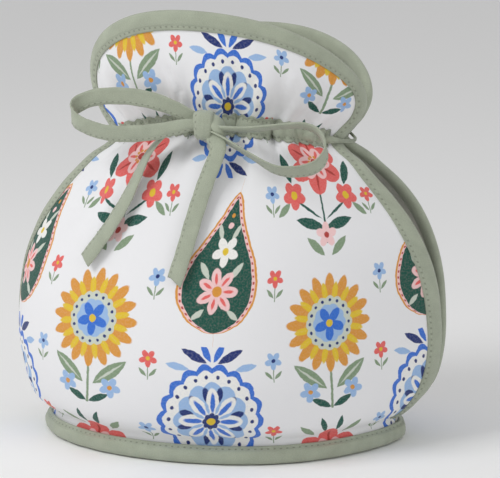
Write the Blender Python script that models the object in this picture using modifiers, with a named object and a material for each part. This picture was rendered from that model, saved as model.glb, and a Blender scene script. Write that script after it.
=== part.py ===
"""A padded cotton tea cosy: two printed panels in a sage hem band, drawn in at the neck by a tie with a bow.

Millimetres in the sizes below; the model itself is in metres. +Z is up, the cosy stands on its hem at z = 0,
+X is the side where a pot's handle comes out, and the bow faces -Y.
"""

import math
from collections import namedtuple

import bmesh
import bpy
from mathutils import Matrix, Vector

MM = 0.001
GAP = 0.35            # clearance between sewn pieces
EDGE_GAP = 0.65       # room at a raw edge inside its binding
PLACE = Vector((1.23, 0.0, 0.0))   # moves the model so that the middle of its box is at x = y = 0
UP = Vector((0, 0, 1))

# The flat cut of a panel
PANEL_THICK = 3.2
FLAT_HEIGHT = 270.0   # hem edge to the top of the lobe
LOBE_START = 211.0    # the lobe's rounded outline starts here
LOBE_POWER = 3.0      # roundness of that outline: 2 is an ellipse
NECK = 202.0          # flat height of the drawn-in neck

# Trims
BINDING_WIDTH = 10.0
BINDING_LEAF = 1.1
TAPE_WIDTH = 10.0
TAPE_THICK = 1.3
TIE_BULGE = 3.2       # the tie stands out this far more midway between the panels
CASING_THICK = 1.0

# How the front panel hangs over the body's oval
WRAP = 11.0           # its left edge is carried this far round towards the back
SPREAD = 0.9          # how far it is flattened towards its right edge

Station = namedtuple(
    "Station", "flat side_z half_width half_depth rise half_gap flat_half shift_x shift_y tuck"
)
PROFILE = (
    #       flat  side_z half_w half_d rise half_gap flat_half shift_x shift_y tuck
    Station(0.0, 7.5, 108.4, 75.0, 0.0, 3.0, 146.0, -4.8, 3.4, 6.0),
    Station(7.2, 14.7, 108.6, 75.2, 0.0, 3.0, 149.0, -4.8, 3.4, 6.0),
    Station(13.0, 18.6, 113.8, 80.2, 0.0, 3.2, 152.0, -5.0, 2.6, 5.0),
    Station(21.0, 24.8, 119.8, 86.2, 0.0, 3.8, 155.0, -4.6, 1.4, 3.5),
    Station(36.0, 39.0, 127.4, 91.5, 0.0, 5.5, 162.0, -1.6, 0.5, 1.0),
    Station(58.0, 60.5, 131.7, 94.0, 0.0, 8.5, 168.0, -0.9, 0.0, 0.0),
    Station(80.0, 82.5, 131.4, 93.0, 0.0, 11.5, 168.0, -0.2, 0.0, 0.0),
    Station(102.0, 104.4, 128.8, 88.8, 0.0, 16.5, 163.0, 1.0, 0.0, 0.0),
    Station(122.0, 123.9, 123.7, 82.7, 0.5, 22.0, 155.0, 2.2, 0.0, 0.0),
    Station(141.0, 141.5, 117.0, 75.0, 1.5, 25.0, 146.0, 2.0, 0.0, 0.0),
    Station(157.0, 154.8, 107.6, 66.8, 4.0, 24.0, 138.0, 1.4, 0.0, 0.0),
    Station(171.0, 164.8, 96.5, 58.5, 7.0, 20.0, 131.0, 0.6, 0.0, 0.0),
    Station(184.0, 172.8, 86.3, 50.9, 9.5, 15.5, 126.0, 0.2, 0.0, 0.0),
    Station(193.0, 177.8, 77.6, 45.4, 11.0, 12.5, 123.0, 0.2, 0.0, 0.0),
    Station(202.0, 183.8, 71.4, 41.4, 12.5, 10.0, 121.0, 0.4, 0.0, 0.0),
    Station(211.0, 191.2, 75.0, 44.2, 14.0, 8.5, 121.0, 0.6, 0.0, 0.0),
    Station(222.0, 200.5, 80.6, 48.0, 15.5, 7.0, 121.0, 0.6, 0.0, 0.0),
    Station(240.0, 216.5, 85.6, 51.0, 17.0, 6.0, 121.0, 0.6, 0.0, 0.0),
    Station(270.0, 246.5, 86.8, 52.0, 16.6, 6.0, 121.0, 0.6, 0.0, 0.0),
)
Fold = namedtuple("Fold", "at width depth low high")
FRONT_FOLDS = (
    #     at: share of half width, width: share, depth: mm, low and high: flat heights where the fold has run out
    Fold(-0.84, 0.060, 2.6, 158, 246),
    Fold(-0.66, 0.070, 5.0, 92, 252),
    Fold(-0.47, 0.075, 2.6, 76, 232),
    Fold(-0.33, 0.065, 4.6, 150, 262),
    Fold(-0.18, 0.060, 4.2, 150, 240),
    Fold(0.14, 0.065, 4.4, 138, 258),
    Fold(0.43, 0.068, 5.6, 146, 244),
    Fold(0.64, 0.065, 4.2, 152, 262),
    Fold(0.84, 0.060, 2.6, 160, 240),
)
BACK_FOLDS = (
    Fold(-0.85, 0.060, 2.8, 156, 244),
    Fold(-0.62, 0.070, 4.6, 128, 256),
    Fold(-0.40, 0.068, 4.8, 148, 240),
    Fold(-0.14, 0.070, 4.4, 140, 260),
    Fold(0.12, 0.070, 4.8, 150, 238),
    Fold(0.36, 0.068, 4.2, 120, 254),
    Fold(0.60, 0.070, 4.8, 150, 244),
    Fold(0.83, 0.060, 2.6, 158, 240),
)
Panel = namedtuple("Panel", "name facing folds rim_lean rim_drop")
FRONT = Panel("front", -1, FRONT_FOLDS, -9.0, 1.4)
BACK = Panel("back", 1, BACK_FOLDS, 5.0, 15.5)

# Grid lines of a panel: rows in flat heights, then shares of the lobe's rise; the outermost strip is a binding wide
ROWS = (0, 7.2, 13, 21, 36, 58, 80, 102, 122, 141, 157, 171, 183, 193, 197, 207, 211)
LOBE_RISES = (0.2, 0.42, 0.65, 0.88, 1.0)
HALF_COLUMNS = 22
COLUMNS = 2 * HALF_COLUMNS
LAST_ROW = len(ROWS) + len(LOBE_RISES) - 1
CASING_ROWS = (13, 14, 15, 16)
CASING_END = 3        # the casings stop this many columns from a panel's edge
CASING_SPLIT = (19, 23)   # columns of the front panel where the tie comes out

# The bow: middle line of each strand, its width's lean (0 upright, 90 towards the viewer), in mm and degrees
Strand = namedtuple("Strand", "x y z lean")
LEFT_LOOP = (
    Strand(-6.0, -53.0, 200.0, 0),
    Strand(-13.0, -53.5, 204.0, 0),
    Strand(-31.0, -52.0, 210.5, -4),
    Strand(-49.0, -50.5, 213.5, -8),
    Strand(-67.0, -50.0, 213.0, -6),
    Strand(-78.5, -51.5, 209.5, -2),
    Strand(-82.5, -56.5, 204.5, 6),
    Strand(-77.0, -61.5, 198.5, 14),
    Strand(-58.0, -64.0, 193.5, 12),
    Strand(-34.0, -63.5, 194.5, 4),
    Strand(-14.0, -59.5, 198.5, 0),
    Strand(-6.0, -56.0, 199.0, 0),
)
RIGHT_LOOP = (
    Strand(0.0, -54.0, 197.0, 60),
    Strand(9.0, -56.5, 196.5, 62),
    Strand(24.0, -58.0, 197.0, 66),
    Strand(41.0, -57.0, 199.0, 68),
    Strand(55.5, -55.0, 199.5, 62),
    Strand(64.5, -54.0, 194.5, 50),
    Strand(67.5, -55.0, 185.5, 36),
    Strand(63.5, -57.5, 177.5, 34),
    Strand(53.0, -60.0, 174.0, 40),
    Strand(39.5, -61.5, 175.0, 50),
    Strand(25.0, -61.0, 182.5, 60),
    Strand(10.0, -58.5, 190.5, 58),
    Strand(1.0, -56.0, 194.0, 50),
)
# The tails hang down the front panel: middle line and the turn of the width about the vertical, 90 is edge on
TailStep = namedtuple("TailStep", "x y z turn")
LEFT_TAIL = (
    TailStep(-5.0, -54.0, 200.0, 70),
    TailStep(-13.0, -55.0, 199.0, 74),
    TailStep(-25.5, -55.0, 193.6, 72),
    TailStep(-36.5, -56.5, 182.0, 62),
    TailStep(-43.6, -62.5, 166.0, 46),
    TailStep(-48.7, -67.5, 154.0, 34),
    TailStep(-57.0, -71.0, 139.6, 27),
    TailStep(-65.5, -72.8, 127.6, 25),
    TailStep(-71.5, -73.0, 119.5, 26),
)
RIGHT_TAIL = (
    TailStep(-3.0, -53.0, 198.0, 0),
    TailStep(2.0, -57.0, 192.6, 4),
    TailStep(5.4, -60.5, 185.0, 6),
    TailStep(0.2, -70.0, 166.8, 2),
    TailStep(-4.4, -78.4, 148.8, 2),
    TailStep(-8.6, -85.2, 130.7, 4),
    TailStep(-13.6, -90.6, 112.6, 6),
)
KNOT = Vector((-4.0, -53.0, 198.2))
KNOT_WRAP = Vector((10.0, 12.5, 17.0))
KNOT_ROLL = Vector((8.5, 11.0, 15.5))
KNOT_ROOT = Vector((8.0, 10.0, 7.0))   # joins the knot to the run round the neck

COLOURS = {
    "print": (0.86, 0.86, 0.87),
    "sage": (0.43, 0.47, 0.38),
}


def profile_at(flat):
    """The profile's sizes at a flat height, on a smooth curve through its stations."""
    flat = min(max(flat, PROFILE[0].flat), PROFILE[-1].flat)
    k = 0
    while k < len(PROFILE) - 2 and flat > PROFILE[k + 1].flat:
        k += 1
    a, b = PROFILE[k], PROFILE[k + 1]
    before, after = PROFILE[max(k - 1, 0)], PROFILE[min(k + 2, len(PROFILE) - 1)]
    span = b.flat - a.flat
    u = (flat - a.flat) / span
    values = []
    for i in range(1, len(a)):
        slope_a = (b[i] - before[i]) / (b.flat - before.flat) * span
        slope_b = (after[i] - a[i]) / (after.flat - a.flat) * span
        values.append(
            (2 * u ** 3 - 3 * u ** 2 + 1) * a[i] + (u ** 3 - 2 * u ** 2 + u) * slope_a
            + (3 * u ** 2 - 2 * u ** 3) * b[i] + (u ** 3 - u ** 2) * slope_b
        )
    return Station(flat, *values)


def smooth_step(value, low, high):
    u = min(max((value - low) / (high - low), 0.0), 1.0)
    return u * u * (3 - 2 * u)


def plan_point(panel, row, angle):
    """Place across and out from the middle of the body, on an oval that is flatter towards the front's right edge."""
    across, out = row.half_width * math.sin(angle), row.half_depth * math.cos(angle)
    if panel.facing < 0 and angle > 0:
        spread = SPREAD * smooth_step(row.flat, 8, 40) * (1 - smooth_step(row.flat, 150, 192))
        share = (out - row.half_gap) / (row.half_depth - row.half_gap)
        out -= (row.half_depth - row.half_gap) * spread * share * (1 - share)
    return across, out


def angle_at(panel, x, row):
    """Angle round the body's oval, 0 in the middle of the panel: true to length near the edge, gathered between."""
    gap = row.half_gap
    if x < 0:
        gap += panel.facing * WRAP * (1 - smooth_step(row.flat, 105, 150))
    edge = math.copysign(math.acos(min(gap / row.half_depth, 1.0)), x)
    steps = 32
    points = [plan_point(panel, row, edge * i / steps) for i in range(steps + 1)]
    lengths = [0.0]
    for a, b in zip(points, points[1:]):
        lengths.append(lengths[-1] + math.dist(a, b))
    seam, inner = abs(x), row.flat_half - BINDING_WIDTH - 2
    if seam > inner:
        target = lengths[-1] - (row.flat_half - seam)
    else:
        target = seam * (lengths[-1] - BINDING_WIDTH - 2) / inner
    i = 0
    while i < steps - 1 and lengths[i + 1] < target:
        i += 1
    part = (target - lengths[i]) / (lengths[i + 1] - lengths[i])
    return edge * (i + part) / steps


def fold_depth(panel, share, flat):
    """How far the gathers pull the cloth in at this place."""
    total = 0.0
    for fold in panel.folds:
        if flat <= NECK:
            reach = smooth_step(flat, fold.low, NECK - 8)
        else:
            reach = 1 - smooth_step(flat, NECK + 6, fold.high + 10)
        total += fold.depth * reach * math.exp(-(((share - fold.at) / fold.width) ** 2))
    return total


def cloth_point(panel, x, flat):
    """A point of the flat cut, x across and flat up, on the outer face of the standing panel."""
    row = profile_at(flat)
    share = x / row.flat_half
    angle = angle_at(panel, x, row)
    across, out = math.sin(angle), math.cos(angle)
    place_across, place_out = plan_point(panel, row, angle)
    normal = Vector((across * row.half_depth, out * row.half_width, 0)).normalized()
    pull = fold_depth(panel, share, flat)
    if panel.facing < 0 and across > 0:
        pull += row.tuck * 3 * across ** 3 * out
    lobe = smooth_step(flat, NECK, FLAT_HEIGHT)
    height = row.side_z + row.rise * out * out + lobe * (panel.rim_lean * across - panel.rim_drop)
    return Vector((
        row.shift_x + place_across - pull * normal.x,
        row.shift_y + panel.facing * (place_out - pull * normal.y),
        height,
    ))


def cloth_normal(panel, x, flat):
    step = 1.5
    limit = profile_at(flat).flat_half - step
    x = min(max(x, -limit), limit)
    flat = min(max(flat, step), FLAT_HEIGHT - step)
    across = cloth_point(panel, x + step, flat) - cloth_point(panel, x - step, flat)
    up = cloth_point(panel, x, flat + step) - cloth_point(panel, x, flat - step)
    return (across.cross(up) * -panel.facing).normalized()


def rim_place(turn, inset):
    """Flat place on the lobe's rounded outline, at a turn from 0 on the right to 180 on the left, moved inwards."""
    c, s = math.cos(math.radians(turn)), math.sin(math.radians(turn))
    width, height = profile_at(LOBE_START).flat_half, FLAT_HEIGHT - LOBE_START
    radius = (abs(c) ** LOBE_POWER + s ** LOBE_POWER) ** (-1 / LOBE_POWER)
    u, v = c * radius, s * radius
    slope_u = math.copysign(abs(u) ** (LOBE_POWER - 1) / width, u)
    slope_v = v ** (LOBE_POWER - 1) / height
    length = math.hypot(slope_u, slope_v)
    return u * width - inset * slope_u / length, v * height - inset * slope_v / length


def grid_place(column, row):
    """Flat place of a crossing of the grid lines of a panel."""
    side = column - HALF_COLUMNS
    share = side / (HALF_COLUMNS - 1)
    if row < len(ROWS):
        half = profile_at(ROWS[row]).flat_half
        x = share * (half - BINDING_WIDTH) if abs(side) < HALF_COLUMNS else math.copysign(half, side)
        return x, ROWS[row]
    rise = LOBE_RISES[row - len(ROWS)]
    if abs(side) == HALF_COLUMNS or row == LAST_ROW:
        rise_at, share_at = rise, side / HALF_COLUMNS
        level, inset = 1.0, 0.0
    else:
        rise_at, share_at = rise / LOBE_RISES[-2], share
        level, inset = max(abs(share_at), rise_at), BINDING_WIDTH
    widest = max(abs(share_at), rise_at)
    if abs(share_at) >= rise_at:
        turn = 45 * rise_at / widest
        turn = turn if share_at > 0 else 180 - turn
    else:
        turn = 90 - 45 * share_at / widest
    x, v = rim_place(turn, inset)
    return x * level, LOBE_START + v * level


def material(name, roughness=0.9):
    found = bpy.data.materials.get(name)
    if found:
        return found
    made = bpy.data.materials.new(name)
    made.use_nodes = True
    shader = made.node_tree.nodes["Principled BSDF"]
    shader.inputs["Base Color"].default_value = (*COLOURS[name], 1)
    shader.inputs["Roughness"].default_value = roughness
    shader.inputs["Metallic"].default_value = 0
    return made


def add_object(name, bm, colour, collection):
    bmesh.ops.recalc_face_normals(bm, faces=bm.faces)
    mesh = bpy.data.meshes.new(name)
    bm.to_mesh(mesh)
    bm.free()
    mesh.transform(Matrix.Scale(MM, 4) @ Matrix.Translation(PLACE))
    mesh.materials.append(material(colour))
    mesh.shade_smooth()
    mesh.set_sharp_from_angle(angle=math.radians(50))
    made = bpy.data.objects.new(name, mesh)
    collection.objects.link(made)
    return made


def loft(rings, closed, splits=None, ends=None):
    """A closed body through rings of points: a loop of rings, or a run of them with faces at both ends.

    Faces between two rings are split along their shorter diagonal, or as splits says for a place in the
    ring: 0 from the first ring's point to the second ring's next point, 1 the other way.
    """
    bm = bmesh.new()
    loops = [[bm.verts.new(p) for p in ring] for ring in rings]
    count = len(rings[0])
    pairs = list(zip(loops, loops[1:]))
    if closed:
        pairs.append((loops[-1], loops[0]))
    for a, b in pairs:
        for i in range(count):
            j = (i + 1) % count
            shorter = int((a[j].co - b[i].co).length < (a[i].co - b[j].co).length)
            if (splits or {}).get(i, shorter):
                bm.faces.new((a[i], a[j], b[i]))
                bm.faces.new((a[j], b[j], b[i]))
            else:
                bm.faces.new((a[i], a[j], b[j]))
                bm.faces.new((a[i], b[j], b[i]))
    if not closed:
        for loop in (loops[0], loops[-1]):
            for corners in ends or (range(count),):
                bm.faces.new([loop[i] for i in corners])
    bmesh.ops.remove_doubles(bm, verts=bm.verts, dist=0.001)
    bmesh.ops.triangulate(bm, faces=bm.faces)
    return bm


def build_panel(panel, collection):
    """The padded cloth: a flat grid laid out to the cut, stood up, and given its thickness inwards."""
    bm = bmesh.new()
    bmesh.ops.create_grid(bm, x_segments=COLUMNS, y_segments=LAST_ROW, size=0.5)
    crossings = {}
    for vert in bm.verts:
        crossing = round((vert.co.x + 0.5) * COLUMNS), round((vert.co.y + 0.5) * LAST_ROW)
        crossings[crossing] = vert
        vert.co = cloth_point(panel, *grid_place(*crossing))
    for (edge, inside), (next_edge, next_inside) in zip(edge_crossings(), edge_crossings()[1:]):
        bmesh.ops.connect_verts(bm, verts=[crossings[inside], crossings[next_edge]])
    bm.verts.index_update()
    crossings = {crossing: vert.index for crossing, vert in crossings.items()}
    made = add_object(panel.name + "_panel", bm, "print", collection)
    if sum(face.normal.y for face in made.data.polygons) * panel.facing < 0:
        made.data.flip_normals()
    places = {
        crossing: (made.data.vertices[i].co / MM - PLACE, made.data.vertices[i].normal.copy())
        for crossing, i in crossings.items()
    }
    wall = made.modifiers.new("thickness", "SOLIDIFY")
    wall.thickness = PANEL_THICK * MM
    wall.offset = -1
    split = made.modifiers.new("triangles", "TRIANGULATE")
    split.quad_method = "SHORTEST_DIAGONAL"
    return places


def edge_crossings():
    """Crossings along a panel's outline, from the left end at the hem over the lobe, each with the one inside it."""
    left = [((0, row), (1, row)) for row in range(1, LAST_ROW)]
    right = [((COLUMNS, row), (COLUMNS - 1, row)) for row in range(LAST_ROW - 1, 0, -1)]
    top = [((column, LAST_ROW), (column, LAST_ROW - 1)) for column in range(1, COLUMNS)]
    corner = [((0, LAST_ROW), (1, LAST_ROW - 1))]
    far_corner = [((COLUMNS, LAST_ROW), (COLUMNS - 1, LAST_ROW - 1))]
    return left[:-1] + [((0, LAST_ROW - 1), (1, LAST_ROW - 1))] + corner + top + far_corner + right


def build_binding(panel, places, collection):
    """The folded strip round a panel's sides and lobe."""
    front_low, front_high = GAP, GAP + BINDING_LEAF
    back_low, back_high = -PANEL_THICK - GAP, -PANEL_THICK - GAP - BINDING_LEAF
    rings = []
    for edge, inside in edge_crossings():
        edge_point, edge_normal = places[edge]
        deep_point, deep_normal = places[inside]
        outwards = (edge_point - deep_point).normalized()
        rings.append([
            deep_point + deep_normal * front_low,
            deep_point + deep_normal * front_high,
            edge_point + edge_normal * (front_high + 0.1) - outwards * 0.8,
            edge_point + outwards * (EDGE_GAP + BINDING_LEAF) - edge_normal * 0.4,
            edge_point + outwards * (EDGE_GAP + BINDING_LEAF) - edge_normal * (PANEL_THICK - 0.4),
            edge_point + edge_normal * (back_high - 0.1) - outwards * 0.8,
            deep_point + deep_normal * back_high,
            deep_point + deep_normal * back_low,
            edge_point + edge_normal * back_low + outwards * EDGE_GAP,
            edge_point + edge_normal * front_low + outwards * EDGE_GAP,
        ])
    ends = ((0, 1, 2, 9), (9, 2, 3), (9, 3, 4, 8), (8, 4, 5), (8, 5, 6, 7))
    body = loft(rings, closed=False, splits={1: 0, 5: 1, 7: 0, 9: 1}, ends=ends)
    return add_object(panel.name + "_binding", body, "sage", collection)


def build_casing(name, panel, places, columns, collection):
    """A strip sewn over the neck along both its edges, standing off the cloth between them for the tie."""
    channel = 2 * GAP + TAPE_THICK
    low = (GAP, channel, channel, GAP)
    rings = []
    for column in columns:
        ring = []
        for row, height in zip(CASING_ROWS, low):
            point, normal = places[column, row]
            ring.append(point + normal * height)
        for row, height in reversed(tuple(zip(CASING_ROWS, low))):
            point, normal = places[column, row]
            ring.append(point + normal * (height + CASING_THICK))
        rings.append(ring)
    body = loft(rings, closed=False, ends=((0, 1, 6, 7), (1, 2, 5, 6), (2, 3, 4, 5)))
    return add_object(name, body, "sage", collection)


def smooth_path(points, steps):
    """Points on a smooth curve through the given ones, each a tuple of numbers."""
    path = []
    for i in range(len(points) - 1):
        a, b = points[i], points[i + 1]
        before, after = points[max(i - 1, 0)], points[min(i + 2, len(points) - 1)]
        for k in range(steps):
            u = k / steps
            path.append([
                0.5 * (2 * q + (r - p) * u + (2 * p - 5 * q + 4 * r - w) * u * u + (3 * q - p - 3 * r + w) * u ** 3)
                for p, q, r, w in zip(before, a, b, after)
            ])
    path.append(list(points[-1]))
    return path


def ribbon(name, centres, widths, collection, end_slant=0.0):
    """A flat tape along a line, with the direction of its width given at each point."""
    rings = []
    for i, centre in enumerate(centres):
        along = (centres[min(i + 1, len(centres) - 1)] - centres[max(i - 1, 0)]).normalized()
        across = (widths[i] - along * widths[i].dot(along)).normalized() * TAPE_WIDTH / 2
        face = along.cross(across).normalized() * TAPE_THICK / 2
        shift = along * end_slant if i == len(centres) - 1 else Vector()
        rings.append([
            centre - across - face - shift, centre + across - face + shift,
            centre + across + face + shift, centre - across + face - shift,
        ])
    return add_object(name, loft(rings, closed=False), "sage", collection)


def loop_strand(name, table, collection):
    path = smooth_path(table, 3)
    centres = [Vector(p[:3]) for p in path]
    widths = [Vector((0, -math.sin(math.radians(p[3])), math.cos(math.radians(p[3])))) for p in path]
    return ribbon(name, centres, widths, collection)


def tail_strand(name, table, collection, end_slant):
    path = smooth_path(table, 3)
    centres = [Vector(p[:3]) for p in path]
    widths = [Vector((math.cos(math.radians(p[3])), -math.sin(math.radians(p[3])), 0)) for p in path]
    return ribbon(name, centres, widths, collection, end_slant)


def neck_ring(name, front_places, back_places, collection):
    """The tie's run round the neck, inside the casings and over the bindings between the panels."""
    rings = []
    over_binding = GAP + BINDING_LEAF + GAP + 1.3
    for places, columns in ((front_places, range(COLUMNS + 1)), (back_places, range(COLUMNS, -1, -1))):
        for column in columns:
            low_point, low_normal = places[column, CASING_ROWS[1]]
            high_point, high_normal = places[column, CASING_ROWS[2]]
            lift = over_binding if min(column, COLUMNS - column) < 2 else GAP
            if column == columns[0] and rings:
                rings.append(None)
            upwards = (high_point - low_point).normalized() * 0.6
            rings.append([
                low_point + upwards + low_normal * lift,
                low_point + upwards + low_normal * (lift + TAPE_THICK),
                high_point - upwards + high_normal * (lift + TAPE_THICK),
                high_point - upwards + high_normal * lift,
            ])
    rings.append(None)
    for i, ring in enumerate(rings):
        if ring is None:
            bulge = Vector((math.copysign(TIE_BULGE, rings[i - 1][0].x), 0, 0))
            rings[i] = [(p + q) / 2 + bulge for p, q in zip(rings[i - 1], rings[(i + 1) % len(rings)])]
    return add_object(name, loft(rings, closed=True), "sage", collection)


def knot_part(name, size, centre, turn, collection):
    """A rounded body of the knot, leaning to one side by the turn."""
    bm = bmesh.new()
    bmesh.ops.create_cube(bm, size=1.0)
    bmesh.ops.scale(bm, vec=size, verts=bm.verts)
    bmesh.ops.bevel(
        bm, geom=bm.edges[:], offset=min(size) * 0.3, segments=3, profile=0.5, affect="EDGES", material=-1
    )
    bmesh.ops.rotate(bm, cent=(0, 0, 0), matrix=Matrix.Rotation(math.radians(turn), 3, "Y"), verts=bm.verts)
    bmesh.ops.translate(bm, vec=centre, verts=bm.verts)
    return add_object(name, bm, "sage", collection)


def build_tie(front_places, back_places, collection, guides):
    """One tape: the run round the neck, the knot, two loops and two tails, joined into one body."""
    ring = neck_ring("tie", front_places, back_places, collection)
    others = (
        knot_part("knot_root", KNOT_ROOT, KNOT + Vector((0.0, 4.0, -2.0)), 0, guides),
        knot_part("knot_wrap", KNOT_WRAP, KNOT, 0, guides),
        knot_part("knot_roll", KNOT_ROLL, KNOT + Vector((7.0, 0.6, -0.6)), -24, guides),
        loop_strand("left_loop", LEFT_LOOP, guides),
        loop_strand("right_loop", RIGHT_LOOP, guides),
        tail_strand("left_tail", LEFT_TAIL, guides, 0.0),
        tail_strand("right_tail", RIGHT_TAIL, guides, 2.2),
    )
    for other in others:
        other.hide_render = True
        other.display_type = "WIRE"
        join = ring.modifiers.new("join_" + other.name, "BOOLEAN")
        join.operation = "UNION"
        join.solver = "EXACT"
        join.object = other
    return ring


def build_hem(collection):
    """The closed padded band, with the slot that the panels are sewn into."""
    base = PROFILE[0]
    inner_wall = -PANEL_THICK - GAP
    section = (   # out from the panels' outer face, and up
        (-6.4, 0.0), (2.4, 0.0), (4.0, 2.4), (4.4, 6.0), (3.3, 9.6), (1.4, 11.2), (0.6, 10.6),
        (GAP, 7.2), (inner_wall, 7.2), (inner_wall, 12.6), (-6.2, 12.2), (-7.2, 7.0), (-7.2, 2.4),
    )
    stations = 64
    rings = []
    for i in range(stations):
        turn = 2 * math.pi * i / stations
        across, out = math.cos(turn), math.sin(turn)
        normal = Vector((base.half_depth * across, base.half_width * out, 0)).normalized()
        spot = Vector((base.shift_x + base.half_width * across, base.shift_y + base.half_depth * out, 0))
        if out < 0 and across > 0:
            spot += normal * base.tuck * 3 * across ** 3 * out
        rings.append([spot + normal * reach + UP * height for reach, height in section])
    return add_object("hem_band", loft(rings, closed=True), "sage", collection)


def main():
    for existing in list(bpy.data.objects):
        bpy.data.objects.remove(existing)
    collection = bpy.data.collections.new("tea_cosy")
    guides = bpy.data.collections.new("tie_parts")
    bpy.context.scene.collection.children.link(collection)
    bpy.context.scene.collection.children.link(guides)
    front_places = build_panel(FRONT, collection)
    back_places = build_panel(BACK, collection)
    build_binding(FRONT, front_places, collection)
    build_binding(BACK, back_places, collection)
    build_hem(collection)
    build_casing("front_casing_left", FRONT, front_places, range(CASING_END, CASING_SPLIT[0] + 1), collection)
    build_casing(
        "front_casing_right", FRONT, front_places, range(CASING_SPLIT[1], COLUMNS - CASING_END + 1), collection
    )
    build_casing("back_casing", BACK, back_places, range(CASING_END, COLUMNS - CASING_END + 1), collection)
    build_tie(front_places, back_places, collection, guides)


main()
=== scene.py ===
import math
from collections import namedtuple

import bmesh
import bpy
from mathutils import Matrix, Vector


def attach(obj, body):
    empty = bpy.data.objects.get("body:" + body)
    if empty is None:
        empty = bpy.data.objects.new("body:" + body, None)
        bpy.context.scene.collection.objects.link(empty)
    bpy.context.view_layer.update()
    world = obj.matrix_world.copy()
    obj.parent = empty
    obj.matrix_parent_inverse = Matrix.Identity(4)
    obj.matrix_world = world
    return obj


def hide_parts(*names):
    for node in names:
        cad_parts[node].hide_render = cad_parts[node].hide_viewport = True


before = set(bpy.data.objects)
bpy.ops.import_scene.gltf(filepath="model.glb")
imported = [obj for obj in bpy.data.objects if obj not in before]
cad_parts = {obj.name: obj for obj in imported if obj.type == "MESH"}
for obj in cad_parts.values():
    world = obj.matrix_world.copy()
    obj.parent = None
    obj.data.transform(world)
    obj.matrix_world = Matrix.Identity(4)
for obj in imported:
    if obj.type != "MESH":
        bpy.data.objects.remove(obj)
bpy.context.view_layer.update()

mm = 0.001
upwards = Vector((0, 0, 1))
middleShift = Vector((1.23, 0.0, 0.0))

panelSizes = {
    "thick": 3.2, "height": 270.0, "lobeStart": 211.0, "lobePower": 3.0, "neck": 202.0,
    "wrap": 11.0, "spread": 0.9,
    "columns": 72, "rowStep": 3.0, "lobeRows": 22, "seam": 10.0,
}
trimSizes = {"width": 10.0, "leaf": 1.35, "tapeThick": 1.1, "tapeWidth": 10.0, "stitch": 3.6}
casingSizes = {"low": 195.2, "high": 209.4}

Station = namedtuple(
    "Station", "flat sideZ halfWidth halfDepth rise halfGap flatHalf shiftX shiftY tuck"
)
bodyProfile = (
    Station(0.0, 7.5, 108.4, 75.0, 0.0, 3.0, 146.0, -4.8, 3.4, 6.0),
    Station(7.2, 14.7, 108.6, 75.2, 0.0, 3.0, 149.0, -4.8, 3.4, 6.0),
    Station(13.0, 18.6, 113.8, 80.2, 0.0, 3.2, 152.0, -5.0, 2.6, 5.0),
    Station(21.0, 24.8, 119.8, 86.2, 0.0, 3.8, 155.0, -4.6, 1.4, 3.5),
    Station(36.0, 39.0, 127.4, 91.5, 0.0, 5.5, 162.0, -1.6, 0.5, 1.0),
    Station(58.0, 60.5, 131.7, 94.0, 0.0, 8.5, 168.0, -0.9, 0.0, 0.0),
    Station(80.0, 82.5, 131.4, 93.0, 0.0, 11.5, 168.0, -0.2, 0.0, 0.0),
    Station(102.0, 104.4, 128.8, 88.8, 0.0, 16.5, 163.0, 1.0, 0.0, 0.0),
    Station(122.0, 123.9, 123.7, 82.7, 0.5, 22.0, 155.0, 2.2, 0.0, 0.0),
    Station(141.0, 141.5, 117.0, 75.0, 1.5, 25.0, 146.0, 2.0, 0.0, 0.0),
    Station(157.0, 154.8, 107.6, 66.8, 4.0, 24.0, 138.0, 1.4, 0.0, 0.0),
    Station(171.0, 164.8, 96.5, 58.5, 7.0, 20.0, 131.0, 0.6, 0.0, 0.0),
    Station(184.0, 172.8, 86.3, 50.9, 9.5, 15.5, 126.0, 0.2, 0.0, 0.0),
    Station(193.0, 177.8, 77.6, 45.4, 11.0, 12.5, 123.0, 0.2, 0.0, 0.0),
    Station(202.0, 183.8, 71.4, 41.4, 12.5, 10.0, 121.0, 0.4, 0.0, 0.0),
    Station(211.0, 191.2, 75.0, 44.2, 14.0, 8.5, 121.0, 0.6, 0.0, 0.0),
    Station(222.0, 200.5, 80.6, 48.0, 15.5, 7.0, 121.0, 0.6, 0.0, 0.0),
    Station(240.0, 216.5, 85.6, 51.0, 17.0, 6.0, 121.0, 0.6, 0.0, 0.0),
    Station(270.0, 246.5, 86.8, 52.0, 16.6, 6.0, 121.0, 0.6, 0.0, 0.0),
)
# Gathers: place across as a share, width, depth in mm, and the flat heights where each has run out
Fold = namedtuple("Fold", "at width depth low high")
frontFolds = (
    Fold(-0.84, 0.060, 2.6, 158, 246),
    Fold(-0.66, 0.070, 5.0, 92, 252),
    Fold(-0.47, 0.075, 2.6, 76, 232),
    Fold(-0.33, 0.065, 4.6, 150, 262),
    Fold(-0.18, 0.060, 4.2, 150, 240),
    Fold(0.14, 0.065, 4.4, 138, 258),
    Fold(0.43, 0.068, 5.6, 146, 244),
    Fold(0.64, 0.065, 4.2, 152, 262),
    Fold(0.84, 0.060, 2.6, 160, 240),
)
backFolds = (
    Fold(-0.85, 0.060, 2.8, 156, 244),
    Fold(-0.62, 0.070, 4.6, 128, 256),
    Fold(-0.40, 0.068, 4.8, 148, 240),
    Fold(-0.14, 0.070, 4.4, 140, 260),
    Fold(0.12, 0.070, 4.8, 150, 238),
    Fold(0.36, 0.068, 4.2, 120, 254),
    Fold(0.60, 0.070, 4.8, 150, 244),
    Fold(0.83, 0.060, 2.6, 158, 240),
)
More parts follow.
